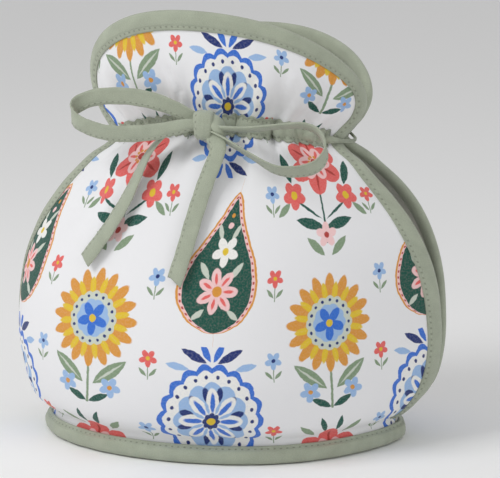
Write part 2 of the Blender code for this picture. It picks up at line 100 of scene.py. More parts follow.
# Single creases: soft troughs (depth over 0) and ridges (under 0) from one flat place to another
Crease = namedtuple("Crease", "x0 flat0 x1 flat1 width depth")
frontCreases = (
    Crease(-86, 196, -87, 172, 4.5, -1.6),
    Crease(-87, 172, -78, 150, 5.5, -1.5),
    Crease(-78, 150, -73, 122, 7.0, -1.1),
    Crease(-72, 176, -62, 140, 6.0, 1.4),
    Crease(-62, 140, -61, 108, 8.0, 1.1),
    Crease(-100, 188, -112, 150, 7.0, 1.0),
    Crease(-20, 196, -30, 168, 5.0, 1.2),
    Crease(24, 196, 27, 168, 4.0, 1.8),
    Crease(36, 192, 40, 176, 5.0, -1.4),
    Crease(53, 200, 57, 176, 3.4, 2.4),
    Crease(70, 194, 82, 170, 6.0, -1.4),
    Crease(92, 192, 104, 164, 5.0, 1.5),
    Crease(-34, 237, -28, 224, 1.8, 1.3),
    Crease(-28, 224, -33, 214, 2.2, 1.2),
    Crease(-60, 212, -72, 238, 5.0, 1.2),
    Crease(25, 210, 30, 236, 4.0, 1.2),
    Crease(51, 210, 56, 240, 4.0, -1.1),
    Crease(70, 211, 84, 236, 4.5, 1.4),
    Crease(88, 210, 98, 226, 4.0, -1.0),
    Crease(-96, 212, -104, 226, 4.0, 1.1),
    Crease(-130, 60, -90, 20, 16.0, 0.9),
    Crease(60, 90, 120, 60, 20.0, 0.8),
    Crease(-20, 30, 50, 22, 14.0, 0.6),
)
backCreases = (
    Crease(103, 193, 110, 168, 9.0, -7.0),
    Crease(-104, 190, -112, 166, 9.0, -3.5),
    Crease(-70, 196, -80, 150, 6.0, 1.5),
    Crease(20, 196, 30, 156, 6.0, 1.4),
    Crease(88, 194, 100, 160, 6.0, -1.4),
    Crease(-30, 194, -34, 168, 4.0, -1.4),
    Crease(10, 212, 16, 240, 5.0, 1.2),
    Crease(-74, 212, -84, 238, 5.0, 1.2),
    Crease(60, 40, -40, 60, 22.0, 0.8),
)
Panel = namedtuple("Panel", "name facing folds creases rimLean rimDrop ruffle")
frontPanel = Panel("front", -1, frontFolds, frontCreases, -9.0, 1.4, 0.0)
backPanel = Panel("back", 1, backFolds, backCreases, 5.0, 15.5, 1.7)

printColours = {
    "cloth": (233, 233, 235), "lining": (226, 225, 218), "sage": (166, 173, 154), "green": (13, 80, 67),
    "cobalt": (52, 110, 205), "navy": (25, 45, 110), "coral": (225, 98, 94), "red": (176, 62, 56),
    "pink": (240, 200, 200), "ochre": (215, 148, 60), "yellow": (222, 190, 50), "sky": (152, 184, 224),
    "pale": (200, 207, 195), "leaf": (128, 150, 120), "white": (238, 237, 233),
}

Strand = namedtuple("Strand", "x y z lean")
leftLoop = (
    Strand(-6.0, -53.0, 200.0, 0),
    Strand(-13.0, -53.5, 204.0, 0),
    Strand(-31.0, -52.0, 210.5, -4),
    Strand(-49.0, -50.5, 213.5, -8),
    Strand(-67.0, -50.0, 213.0, -6),
    Strand(-78.5, -51.5, 209.5, -2),
    Strand(-82.5, -56.5, 204.5, 6),
    Strand(-77.0, -61.5, 198.5, 14),
    Strand(-58.0, -64.0, 193.5, 12),
    Strand(-34.0, -63.5, 194.5, 4),
    Strand(-14.0, -59.5, 198.5, 0),
    Strand(-6.0, -56.0, 199.0, 0),
)
rightLoop = (
    Strand(0.0, -54.0, 197.0, 60),
    Strand(9.0, -56.5, 196.5, 62),
    Strand(24.0, -58.0, 197.0, 66),
    Strand(41.0, -57.0, 199.0, 68),
    Strand(55.5, -55.0, 199.5, 62),
    Strand(64.5, -54.0, 194.5, 50),
    Strand(67.5, -55.0, 185.5, 36),
    Strand(63.5, -57.5, 177.5, 34),
    Strand(53.0, -60.0, 174.0, 40),
    Strand(39.5, -61.5, 175.0, 50),
    Strand(25.0, -61.0, 182.5, 60),
    Strand(10.0, -58.5, 190.5, 58),
    Strand(1.0, -56.0, 194.0, 50),
)
leftTail = (
    Strand(-5.0, -54.0, 200.0, 70),
    Strand(-13.0, -55.0, 199.0, 74),
    Strand(-25.5, -55.0, 193.6, 72),
    Strand(-36.5, -56.5, 182.0, 62),
    Strand(-43.6, -62.5, 166.0, 46),
    Strand(-48.7, -67.5, 154.0, 34),
    Strand(-57.0, -71.0, 139.6, 27),
    Strand(-65.5, -72.8, 127.6, 25),
    Strand(-71.5, -73.0, 119.5, 26),
)
rightTail = (
    Strand(-3.0, -53.0, 198.0, 0),
    Strand(2.0, -57.0, 192.6, 4),
    Strand(5.4, -60.5, 185.0, 6),
    Strand(0.2, -70.0, 166.8, 2),
    Strand(-4.4, -78.4, 148.8, 2),
    Strand(-8.6, -85.2, 130.7, 4),
    Strand(-13.6, -90.6, 112.6, 6),
)
knotSpot = Vector((-4.0, -53.0, 198.2))


def smoothStep(value, low, high):
    u = min(max((value - low) / (high - low), 0.0), 1.0)
    return u * u * (3 - 2 * u)


profileCache = {}


def profileAt(flat):
    flat = min(max(flat, bodyProfile[0].flat), bodyProfile[-1].flat)
    key = round(flat, 4)
    if key in profileCache:
        return profileCache[key]
    k = 0
    while k < len(bodyProfile) - 2 and flat > bodyProfile[k + 1].flat:
        k += 1
    a, b = bodyProfile[k], bodyProfile[k + 1]
    before, after = bodyProfile[max(k - 1, 0)], bodyProfile[min(k + 2, len(bodyProfile) - 1)]
    span = b.flat - a.flat
    u = (flat - a.flat) / span
    values = []
    for i in range(1, len(a)):
        slopeA = (b[i] - before[i]) / (b.flat - before.flat) * span
        slopeB = (after[i] - a[i]) / (after.flat - a.flat) * span
        values.append(
            (2 * u ** 3 - 3 * u ** 2 + 1) * a[i] + (u ** 3 - 2 * u ** 2 + u) * slopeA
            + (3 * u ** 2 - 2 * u ** 3) * b[i] + (u ** 3 - u ** 2) * slopeB
        )
    profileCache[key] = Station(flat, *values)
    return profileCache[key]


# Place across and out from the middle of the body: an oval, flatter towards the front's right edge
def planPoint(panel, row, angle):
    across, out = row.halfWidth * math.sin(angle), row.halfDepth * math.cos(angle)
    if panel.facing < 0 and angle > 0:
        spread = panelSizes["spread"] * smoothStep(row.flat, 8, 40) * (1 - smoothStep(row.flat, 150, 192))
        share = (out - row.halfGap) / (row.halfDepth - row.halfGap)
        out -= (row.halfDepth - row.halfGap) * spread * share * (1 - share)
    return across, out


arcCache = {}


# Angle round the oval: true to length near the edge, gathered between
def angleAt(panel, x, row):
    key = panel.facing, x < 0, row.flat
    if key not in arcCache:
        gap = row.halfGap
        if x < 0:
            gap += panel.facing * panelSizes["wrap"] * (1 - smoothStep(row.flat, 105, 150))
        edge = math.copysign(math.acos(min(gap / row.halfDepth, 1.0)), x)
        points = [planPoint(panel, row, edge * i / 32) for i in range(33)]
        lengths = [0.0]
        for a, b in zip(points, points[1:]):
            lengths.append(lengths[-1] + math.dist(a, b))
        arcCache[key] = (edge, lengths)
    edge, lengths = arcCache[key]
    seam, inner = abs(x), row.flatHalf - panelSizes["seam"] - 2
    if seam > inner:
        target = lengths[-1] - (row.flatHalf - seam)
    else:
        target = seam * (lengths[-1] - panelSizes["seam"] - 2) / inner
    i = 0
    while i < 31 and lengths[i + 1] < target:
        i += 1
    part = (target - lengths[i]) / (lengths[i + 1] - lengths[i])
    return edge * (i + part) / 32


def creaseDepth(panel, x, flat):
    total = 0.0
    for c in panel.creases:
        dx, df = c.x1 - c.x0, c.flat1 - c.flat0
        along = ((x - c.x0) * dx + (flat - c.flat0) * df) / (dx * dx + df * df)
        u = min(max(along, 0.0), 1.0)
        away = math.hypot(x - c.x0 - u * dx, flat - c.flat0 - u * df)
        if away < c.width * 3:
            total += c.depth * math.exp(-((away / c.width) ** 2))
    return total


def foldDepth(panel, share, flat):
    total = 0.0
    for fold in panel.folds:
        if flat <= panelSizes["neck"]:
            reach = smoothStep(flat, fold.low, panelSizes["neck"] - 8)
        else:
            reach = 1 - smoothStep(flat, panelSizes["neck"] + 6, fold.high + 10)
        total += fold.depth * reach * math.exp(-(((share - fold.at) / fold.width) ** 2))
    return total


# Fine gathers beside the tie, which fade out within a few centimetres
def ruffleDepth(panel, share, flat):
    near = math.exp(-(((flat - panelSizes["neck"]) / 13.0) ** 2)) * (1 - smoothStep(abs(share), 0.82, 0.98))
    wave = math.sin(share * 46 + 1.3 * math.sin(share * 13 + panel.ruffle) + panel.ruffle)
    second = math.sin(share * 71 + 2.1 + panel.ruffle + 0.06 * (flat - 200))
    return near * (0.75 * wave + 0.45 * second)


def clothPoint(panel, x, flat):
    row = profileAt(flat)
    share = x / row.flatHalf
    angle = angleAt(panel, x, row)
    across, out = math.sin(angle), math.cos(angle)
    placeAcross, placeOut = planPoint(panel, row, angle)
    normal = Vector((across * row.halfDepth, out * row.halfWidth, 0)).normalized()
    pull = foldDepth(panel, share, flat) + creaseDepth(panel, x, flat) + ruffleDepth(panel, share, flat)
    if panel.facing < 0 and across > 0:
        pull += row.tuck * 3 * across ** 3 * out
    lobe = smoothStep(flat, panelSizes["neck"], panelSizes["height"])
    height = row.sideZ + row.rise * out * out + lobe * (panel.rimLean * across - panel.rimDrop)
    return middleShift + Vector((
        row.shiftX + placeAcross - pull * normal.x,
        row.shiftY + panel.facing * (placeOut - pull * normal.y),
        height,
    ))


def clothNormal(panel, x, flat, step=1.2):
    limit = profileAt(flat).flatHalf - step
    x = min(max(x, -limit), limit)
    flat = min(max(flat, step), panelSizes["height"] - step)
    across = clothPoint(panel, x + step, flat) - clothPoint(panel, x - step, flat)
    up = clothPoint(panel, x, flat + step) - clothPoint(panel, x, flat - step)
    return (across.cross(up) * -panel.facing).normalized()


def rimPlace(turn, inset):
    c, s = math.cos(math.radians(turn)), math.sin(math.radians(turn))
    width, height = 121.0, panelSizes["height"] - panelSizes["lobeStart"]
    power = panelSizes["lobePower"]
    radius = (abs(c) ** power + abs(s) ** power) ** (-1 / power)
    u, v = c * radius, abs(s) * radius
    slopeU = math.copysign(abs(u) ** (power - 1) / width, u)
    slopeV = v ** (power - 1) / height
    length = math.hypot(slopeU, slopeV)
    return u * width - inset * slopeU / length, v * height - inset * slopeV / length


def lobePlace(share, rise):
    widest = max(abs(share), rise)
    if widest == 0:
        return 0.0, panelSizes["lobeStart"]
    if abs(share) >= rise:
        turn = 45 * rise / widest
        turn = turn if share > 0 else 180 - turn
    else:
        turn = 90 - 45 * share / widest
    x, v = rimPlace(turn, 0.0)
    return x * widest, panelSizes["lobeStart"] + v * widest


def srgb(name):
    channels = [c / 255 for c in printColours[name]]
    linear = [c / 12.92 if c <= 0.04045 else ((c + 0.055) / 1.055) ** 2.4 for c in channels]
    return tuple(linear) + (1.0,)


def makeObject(name, bm, materials):
    mesh = bpy.data.meshes.new(name)
    bm.to_mesh(mesh)
    bm.free()
    mesh.transform(Matrix.Scale(mm, 4))
    for item in materials:
        mesh.materials.append(item)
    mesh.shade_smooth()
    made = bpy.data.objects.new(name, mesh)
    bpy.context.scene.collection.objects.link(made)
    return made


# A smooth closed body through rings of points, with UV in mm: across from marks, along by length
def loftStrip(name, rings, marks, closed, material):
    count = len(rings[0])
    runs = rings + rings[:1] if closed else rings
    lengths = [0.0]
    for a, b in zip(runs, runs[1:]):
        lengths.append(lengths[-1] + (b[0] - a[0]).length)
    bm = bmesh.new()
    layer = bm.loops.layers.uv.new("UVMap")
    bmesh.ops.create_grid(bm, x_segments=count, y_segments=len(runs) - 1, size=0.5)
    spots = {}
    for vert in bm.verts:
        i, j = round((vert.co.x + 0.5) * count), round((vert.co.y + 0.5) * (len(runs) - 1))
        spots[vert] = marks[i], lengths[j]
        vert.co = runs[j][i % count]
    for face in bm.faces:
        for corner in face.loops:
            corner[layer].uv = spots[corner.vert]
    bmesh.ops.remove_doubles(bm, verts=bm.verts, dist=0.002)
    bmesh.ops.holes_fill(bm, edges=[edge for edge in bm.edges if edge.is_boundary], sides=0)
    bmesh.ops.recalc_face_normals(bm, faces=bm.faces)
    return makeObject(name, bm, [material])


# Materials: a small set of helpers that write shader maths as calls
def newMaterial(name, roughness, sheen):
    made = bpy.data.materials.new(name)
    made.use_nodes = True
    tree = made.node_tree
    shader = tree.nodes["Principled BSDF"]
    shader.inputs["Roughness"].default_value = roughness
    shader.inputs["Specular IOR Level"].default_value = 0.25
    shader.inputs["Sheen Weight"].default_value = sheen
    shader.inputs["Sheen Roughness"].default_value = 0.6
    return made, tree, shader


def calc(tree, operation, a, b=None, c=None, clamp=False):
    node = tree.nodes.new("ShaderNodeMath")
    node.operation = operation
    node.use_clamp = clamp
    for socket, value in zip(node.inputs, (a, b, c)):
        if value is None:
            continue
        if isinstance(value, (int, float)):
            socket.default_value = value
        else:
            tree.links.new(value, socket)
    return node.outputs[0]


def flatPlace(tree):
    source = tree.nodes.new("ShaderNodeUVMap")
    source.uv_map = "UVMap"
    parts = tree.nodes.new("ShaderNodeSeparateXYZ")
    tree.links.new(source.outputs["UV"], parts.inputs[0])
    return source.outputs["UV"], parts.outputs[0], parts.outputs[1]


def noiseAt(tree, place, scale, detail=2.0):
    node = tree.nodes.new("ShaderNodeTexNoise")
    node.inputs["Scale"].default_value = scale
    node.inputs["Detail"].default_value = detail
    tree.links.new(place, node.inputs["Vector"])
    return node.outputs["Fac"]


def mixColour(tree, mask, a, b):
    node = tree.nodes.new("ShaderNodeMix")
    node.data_type = "RGBA"
    for socket, value in ((node.inputs[0], mask), (node.inputs[6], a), (node.inputs[7], b)):
        if isinstance(value, (tuple, float, int)):
            socket.default_value = value
        else:
            tree.links.new(value, socket)
    return node.outputs[2]


def bumpFrom(tree, shader, height, strength, distance, before=None):
    node = tree.nodes.new("ShaderNodeBump")
    node.inputs["Strength"].default_value = strength
    node.inputs["Distance"].default_value = distance
    tree.links.new(height, node.inputs["Height"])
    if before:
        tree.links.new(before, node.inputs["Normal"])
    tree.links.new(node.outputs[0], shader.inputs["Normal"])
    return node.outputs[0]


# Height of a plain weave: threads over and under each other
def weave(tree, place, x, y, pitch):
    u = calc(tree, "MULTIPLY", x, 2 * math.pi / pitch)
    v = calc(tree, "MULTIPLY", y, 2 * math.pi / pitch)
    wave = calc(tree, "MULTIPLY", calc(tree, "SINE", u), calc(tree, "SINE", v))
    rough = noiseAt(tree, place, 1.3, 3.0)
    return calc(tree, "ADD", calc(tree, "MULTIPLY", wave, 0.35), rough)


# Plain sage cotton with rows of stitches at the given places across the strip, in mm, with painted shade in the
# holes between stitches
def sageMaterial(name, stitchAt, stitchHalf=0.42):
    made, tree, shader = newMaterial(name, 0.88, 0.25)
    place, x, y = flatPlace(tree)
    cloud = noiseAt(tree, place, 0.09, 4.0)
    fine = noiseAt(tree, place, 1.6, 2.0)
    tone = calc(tree, "ADD", calc(tree, "MULTIPLY", cloud, 0.5), calc(tree, "MULTIPLY", fine, 0.5))
    base = srgb("sage")
    dark = tuple(c * 0.80 for c in base[:3]) + (1.0,)
    light = tuple(min(c * 1.14, 1) for c in base[:3]) + (1.0,)
    # Painted shade colour for the stitch holes: the sage darkened
    stitchHoleShade = tuple(c * 0.45 for c in base[:3]) + (1.0,)
    colour = mixColour(tree, calc(tree, "MULTIPLY_ADD", tone, 2.4, -0.7, clamp=True), dark, light)
    height = weave(tree, place, x, y, 0.9)
    for at in stitchAt:
        away = calc(tree, "ABSOLUTE", calc(tree, "SUBTRACT", x, at))
        beat = calc(tree, "PINGPONG", y, trimSizes["stitch"] / 2)
        row = calc(tree, "MULTIPLY_ADD", away, -1 / 0.25, 1 + stitchHalf / 0.25, clamp=True)
        run = calc(tree, "MULTIPLY_ADD", beat, 2.2, -0.9, clamp=True)
        thread = calc(tree, "MULTIPLY", row, run)
        square = calc(tree, "MULTIPLY", away, away)
        valley = calc(tree, "POWER", 2.718, calc(tree, "MULTIPLY", square, -0.9))
        sink = calc(tree, "MULTIPLY", valley, calc(tree, "MULTIPLY_ADD", beat, -0.5, -1.6))
        raised = calc(tree, "ADD", sink, calc(tree, "MULTIPLY", thread, 1.6))
        height = calc(tree, "ADD", height, raised)
        # Painted shade in the sunken holes between the stitch threads
        stitchHoleShadeMask = calc(tree, "MULTIPLY", row, calc(tree, "SUBTRACT", 1.0, run))
        colour = mixColour(tree, calc(tree, "MULTIPLY", stitchHoleShadeMask, 0.55), colour, stitchHoleShade)
        colour = mixColour(tree, calc(tree, "MULTIPLY", thread, 0.35), colour, light)
    tree.links.new(colour, shader.inputs["Base Color"])
    bumpFrom(tree, shader, height, 0.55, 0.0004)
    return made


# Motifs: each shape is a soft mask from a place in mm
inkEdge = 0.35


def maskOf(tree, inside):
    return calc(tree, "MULTIPLY_ADD", inside, 1 / inkEdge, 0.5, clamp=True)


def lengthOf(tree, x, y):
    return calc(tree, "SQRT", calc(tree, "MULTIPLY_ADD", x, x, calc(tree, "MULTIPLY", y, y)))


def moved(tree, x, y, cx, cy):
    return calc(tree, "SUBTRACT", x, cx), calc(tree, "SUBTRACT", y, cy)


def disc(tree, x, y, cx, cy, radius):
    dx, dy = moved(tree, x, y, cx, cy)
    return maskOf(tree, calc(tree, "SUBTRACT", radius, lengthOf(tree, dx, dy)))


# A pointed leaf: half its length and half its width, at a turn in degrees
def leaf(tree, x, y, cx, cy, turn, half, wide):
    dx, dy = moved(tree, x, y, cx, cy)
    c, s = math.cos(math.radians(turn)), math.sin(math.radians(turn))
    u = calc(tree, "ADD", calc(tree, "MULTIPLY", dx, c), calc(tree, "MULTIPLY", dy, s))
    across = calc(tree, "SUBTRACT", calc(tree, "MULTIPLY", dy, c), calc(tree, "MULTIPLY", dx, s))
    v = calc(tree, "ABSOLUTE", across)
    radius = (half * half + wide * wide) / (2 * wide)
    away = lengthOf(tree, u, calc(tree, "ADD", v, radius - wide))
    return maskOf(tree, calc(tree, "SUBTRACT", radius, away))


def polar(tree, x, y, cx, cy):
    dx, dy = moved(tree, x, y, cx, cy)
    return lengthOf(tree, dx, dy), calc(tree, "ARCTAN2", dy, dx)


# A ring of oval petals round a spot given as radius and angle
def petals(tree, spot, count, centre, half, wide, turn=0.0):
    radius, angle = spot
    step = 2 * math.pi / count
    turned = calc(tree, "ADD", angle, math.radians(turn) + 20 * step)
    part = calc(tree, "PINGPONG", turned, step / 2)
    u = calc(tree, "SUBTRACT", calc(tree, "MULTIPLY", radius, calc(tree, "COSINE", part)), centre)
    v = calc(tree, "MULTIPLY", radius, calc(tree, "SINE", part))
    away = lengthOf(tree, calc(tree, "DIVIDE", u, half), calc(tree, "DIVIDE", v, wide))
    return maskOf(tree, calc(tree, "MULTIPLY", calc(tree, "SUBTRACT", 1.0, away), min(half, wide)))


def scallop(tree, spot, count, radius, depth):
    wave = calc(tree, "ABSOLUTE", calc(tree, "COSINE", calc(tree, "MULTIPLY", spot[1], count / 2)))
    edge = calc(tree, "MULTIPLY_ADD", wave, depth, radius)
    return maskOf(tree, calc(tree, "SUBTRACT", edge, spot[0]))


def band(tree, value, centre, half):
    return maskOf(tree, calc(tree, "SUBTRACT", half, calc(tree, "ABSOLUTE", calc(tree, "SUBTRACT", value, centre))))


def stem(tree, x, y, half, middle, reach):
    return calc(tree, "MULTIPLY", band(tree, x, 0, half), band(tree, y, middle, reach))


def blueMedallion(tree, x, y):
    oval = polar(tree, x, calc(tree, "MULTIPLY", y, 0.82), 0, 0)
    side = calc(tree, "ABSOLUTE", x)
    tip = calc(tree, "ABSOLUTE", y)
    return (
        (leaf(tree, side, tip, 9, 34.5, 28, 7, 2.0), "navy"),
        (leaf(tree, side, tip, 3.4, 36.5, 62, 5.5, 1.7), "cobalt"),
        (leaf(tree, side, tip, 17, 29.0, 12, 5.5, 1.8), "sky"),
        (scallop(tree, oval, 18, 23.5, 2.2), "cobalt"),
        (scallop(tree, oval, 18, 21.4, 1.6), "white"),
        (petals(tree, oval, 22, 20.0, 0.9, 0.9), "navy"),
        (scallop(tree, oval, 12, 16.2, 1.8), "sky"),
        (petals(tree, oval, 12, 12.6, 3.4, 1.7, 15), "navy"),
        (petals(tree, oval, 8, 9.2, 6.2, 3.1), "white"),
        (petals(tree, oval, 8, 8.8, 4.4, 1.2), "cobalt"),
        (petals(tree, oval, 8, 7.0, 3.0, 0.8, 22.5), "sky"),
        (scallop(tree, oval, 8, 3.4, 0.9), "navy"),
        (disc(tree, x, y, 0, 0, 2.2), "yellow"),
    )


def coralBouquet(tree, x, y):
    side = calc(tree, "ABSOLUTE", x)
    main = polar(tree, x, y, 0, 11)
    bud = polar(tree, side, y, 17, -8)
    small = polar(tree, x, y, 0, -27)
    return (
        (stem(tree, x, y, 0.55, -14, 17), "green"),
        (leaf(tree, side, y, 9.5, -14.5, 32, 9.5, 0.7), "green"),
        (leaf(tree, side, y, 9.0, -21.5, 14, 8.5, 2.6), "green"),
        (leaf(tree, side, y, 7.0, -32.5, 42, 6.5, 2.1), "leaf"),
        (leaf(tree, side, y, 20.5, 6.0, 72, 8.5, 2.6), "green"),
        (leaf(tree, side, y, 13.0, 29.0, 48, 6.5, 2.0), "leaf"),
        (leaf(tree, side, y, 24.0, -15.0, -40, 5.0, 1.7), "leaf"),
        (leaf(tree, side, y, 4.5, 33.0, 76, 5.5, 1.6), "green"),
        (petals(tree, main, 6, 10.0, 8.6, 6.2, 30), "coral"),
        (petals(tree, main, 6, 10.8, 5.2, 0.7, 30), "red"),
        (petals(tree, main, 6, 6.2, 5.0, 3.6), "pink"),
        (petals(tree, main, 6, 6.0, 3.4, 0.9), "coral"),
        (petals(tree, main, 10, 3.6, 1.0, 0.8), "ochre"),
        (disc(tree, x, y, 0, 11, 2.3), "red"),
        (petals(tree, bud, 5, 3.6, 3.5, 2.7, 18), "coral"),
        (disc(tree, side, y, 17, -8, 2.0), "yellow"),
        (petals(tree, small, 5, 3.3, 3.0, 2.1, 54), "pink"),
        (disc(tree, x, y, 0, -27, 1.5), "red"),
    )


def greenPaisley(tree, x, y):
    rise = calc(tree, "MAXIMUM", calc(tree, "MULTIPLY_ADD", y, 1 / 60, 0.32), 0.0)
    bend = calc(tree, "MULTIPLY", calc(tree, "POWER", rise, 2.0), 15.0)
    u = calc(tree, "SUBTRACT", x, bend)
    side = calc(tree, "ABSOLUTE", u)
    curve = tree.nodes.new("ShaderNodeFloatCurve")
    points = curve.mapping.curves[0].points
    points[0].location, points[1].location = (0.0, 0.0), (1.0, 0.0)
    teardrop = ((0.04, 0.42), (0.14, 0.76), (0.30, 0.95), (0.46, 0.88), (0.64, 0.62), (0.82, 0.32), (0.94, 0.16))
    for spot in teardrop:
        points.new(*spot)
    curve.mapping.update()
    tree.links.new(calc(tree, "MULTIPLY_ADD", y, 1 / 66, 0.5, clamp=True), curve.inputs["Value"])
    wide = calc(tree, "MULTIPLY", curve.outputs[0], 22.0)
    inside = calc(tree, "SUBTRACT", wide, side)
    low = polar(tree, u, y, 0, -13)
    mid = polar(tree, u, y, 0.5, 5.5)
    beads = band(tree, calc(tree, "PINGPONG", y, 1.5), 0.0, 0.55)
    return (
        (maskOf(tree, inside), "ochre"),
        (maskOf(tree, calc(tree, "SUBTRACT", inside, 1.2)), "pink"),
        (maskOf(tree, calc(tree, "SUBTRACT", inside, 3.0)), "green"),
        (calc(tree, "MULTIPLY", band(tree, inside, 2.1, 0.5), beads), "red"),
        (leaf(tree, side, y, 8.5, -3.5, 52, 5.0, 1.6), "pale"),
        (leaf(tree, side, y, 9.0, -24.0, -40, 4.0, 1.4), "pale"),
        (leaf(tree, side, y, 4.4, 14.5, 66, 4.4, 1.2), "pale"),
        (petals(tree, low, 7, 6.4, 4.6, 2.6), "pink"),
        (petals(tree, low, 7, 6.0, 2.6, 0.8), "coral"),
        (disc(tree, u, y, 0, -13, 2.6), "ochre"),
        (petals(tree, mid, 5, 4.0, 3.4, 2.2, 18), "white"),
        (disc(tree, u, y, 0.5, 5.5, 1.7), "yellow"),
        (disc(tree, u, y, 0.2, 17.5, 1.5), "pink"),
        (disc(tree, u, y, 0.1, 22.0, 1.0), "ochre"),
    )


def ochreBloom(tree, x, y):
    side = calc(tree, "ABSOLUTE", x)
    head = polar(tree, x, y, 0, 9)
    foot = polar(tree, side, y, 12, -25)
    return (
        (stem(tree, x, y, 0.65, -20, 15), "leaf"),
        (leaf(tree, side, y, 11.5, -17.0, 38, 11.0, 3.4), "leaf"),
        (leaf(tree, side, y, 11.5, -17.0, 38, 9.0, 0.6), "pale"),
        (leaf(tree, side, y, 6.0, -31.5, 26, 6.0, 1.9), "green"),
        (petals(tree, head, 16, 17.5, 6.6, 2.7), "ochre"),
        (petals(tree, head, 16, 15.4, 4.6, 1.6, 11.25), "yellow"),
        (scallop(tree, head, 16, 12.4, 1.0), "pale"),
        (petals(tree, head, 16, 11.2, 0.8, 0.8), "navy"),
        (scallop(tree, head, 10, 8.6, 0.8), "sky"),
        (petals(tree, head, 5, 4.6, 4.0, 2.3, 18), "cobalt"),
        (disc(tree, x, y, 0, 9, 1.9), "yellow"),
        (petals(tree, foot, 5, 3.0, 2.8, 1.9, 10), "sky"),
        (disc(tree, side, y, 12, -25, 1.3), "ochre"),
    )


def sprig(tree, x, y, petalColour, heart):
    flower = polar(tree, x, y, 0, 3)
    side = calc(tree, "ABSOLUTE", x)
    return (
        (stem(tree, x, y, 0.3, -5, 5), "leaf"),
        (leaf(tree, side, y, 3.0, -5.5, 48, 3.4, 1.0), "leaf"),
        (petals(tree, flower, 5, 2.9, 2.5, 1.7, 18), petalColour),
        (disc(tree, x, y, 0, 3, 1.2), heart),
    )


# Lays the shapes of one motif over the colour, where the cell holds that motif
def inkOn(tree, colour, shapes, here, inked):
    for mask, name in shapes:
        share = calc(tree, "MULTIPLY", calc(tree, "MULTIPLY", mask, here), inked)
        colour = mixColour(tree, share, colour, srgb(name))
    return colour


# Where a place lies within its cell, in mm from the middle of the cell
def withinCell(tree, value, size):
    return calc(tree, "MULTIPLY", calc(tree, "SUBTRACT", calc(tree, "FRACT", value), 0.5), size)


# White cotton with folk flowers, paisleys and medallions in a half-drop repeat, sprigs between them
def printMaterial():
    made, tree, shader = newMaterial("printed_cotton", 0.86, 0.12)
    place, x, y = flatPlace(tree)
    width, height, motifScale = 74.0, 94.0, 1.2
    wobble = calc(tree, "MULTIPLY_ADD", noiseAt(tree, place, 0.35, 2.0), 1.0, -0.5)
    wobble2 = calc(tree, "MULTIPLY_ADD", noiseAt(tree, place, 0.30, 1.0), -1.0, 0.5)
    px, py = calc(tree, "ADD", x, wobble), calc(tree, "ADD", y, wobble2)
    column = calc(tree, "MULTIPLY_ADD", px, 1 / width, 20.36)
    columnOdd = calc(tree, "MODULO", calc(tree, "FLOOR", column), 2.0)
    cellX = withinCell(tree, column, width)
    halfDrop = calc(tree, "MULTIPLY", columnOdd, 0.5)
    row = calc(tree, "ADD", calc(tree, "MULTIPLY_ADD", py, 1 / height, 20.22), halfDrop)
    rowOdd = calc(tree, "MODULO", calc(tree, "FLOOR", row), 2.0)
    cellY = withinCell(tree, row, height)
    colour = srgb("cloth")
    notColumn = calc(tree, "SUBTRACT", 1.0, columnOdd)
    notRow = calc(tree, "SUBTRACT", 1.0, rowOdd)
    kinds = (
        (blueMedallion, calc(tree, "MULTIPLY", notColumn, notRow)),
        (coralBouquet, calc(tree, "MULTIPLY", columnOdd, notRow)),
        (greenPaisley, calc(tree, "MULTIPLY", notColumn, rowOdd)),
        (ochreBloom, calc(tree, "MULTIPLY", columnOdd, rowOdd)),
    )
    largeX, largeY = (calc(tree, "DIVIDE", cell, motifScale) for cell in (cellX, cellY))
    ink = noiseAt(tree, place, 0.8, 3.0)
    inked = calc(tree, "MULTIPLY_ADD", ink, 0.35, 0.80, clamp=True)
    for draw, here in kinds:
        colour = inkOn(tree, colour, draw(tree, largeX, largeY), here, inked)
    sprigColumn = calc(tree, "ADD", column, 0.5)
    sprigX = withinCell(tree, sprigColumn, width)
    sprigRow = calc(tree, "MULTIPLY_ADD", py, 2 / height, 40.19)
    sprigY = withinCell(tree, sprigRow, height / 2)
    counted = calc(tree, "ADD", calc(tree, "FLOOR", sprigRow), calc(tree, "FLOOR", sprigColumn))
    sprigOdd = calc(tree, "MODULO", counted, 2.0)
    for odd, flower, heart in ((0, "sky", "navy"), (1, "coral", "yellow")):
        here = sprigOdd if odd else calc(tree, "SUBTRACT", 1.0, sprigOdd)
        colour = inkOn(tree, colour, sprig(tree, sprigX, sprigY, flower, heart), here, inked)
    tree.links.new(colour, shader.inputs["Base Color"])
    bumpFrom(tree, shader, weave(tree, place, x, y, 0.8), 0.35, 0.0003)
    return made


def plainMaterial(name, colourName):
    made, tree, shader = newMaterial(name, 0.9, 0.15)
    place, x, y = flatPlace(tree)
    base = srgb(colourName)
    tone = calc(tree, "MULTIPLY_ADD", noiseAt(tree, place, 0.1, 4.0), 2.0, -0.5, clamp=True)
    dark = tuple(c * 0.9 for c in base[:3]) + (1.0,)
    tree.links.new(mixColour(tree, tone, dark, base), shader.inputs["Base Color"])
    bumpFrom(tree, shader, weave(tree, place, x, y, 0.8), 0.3, 0.0003)
    return made


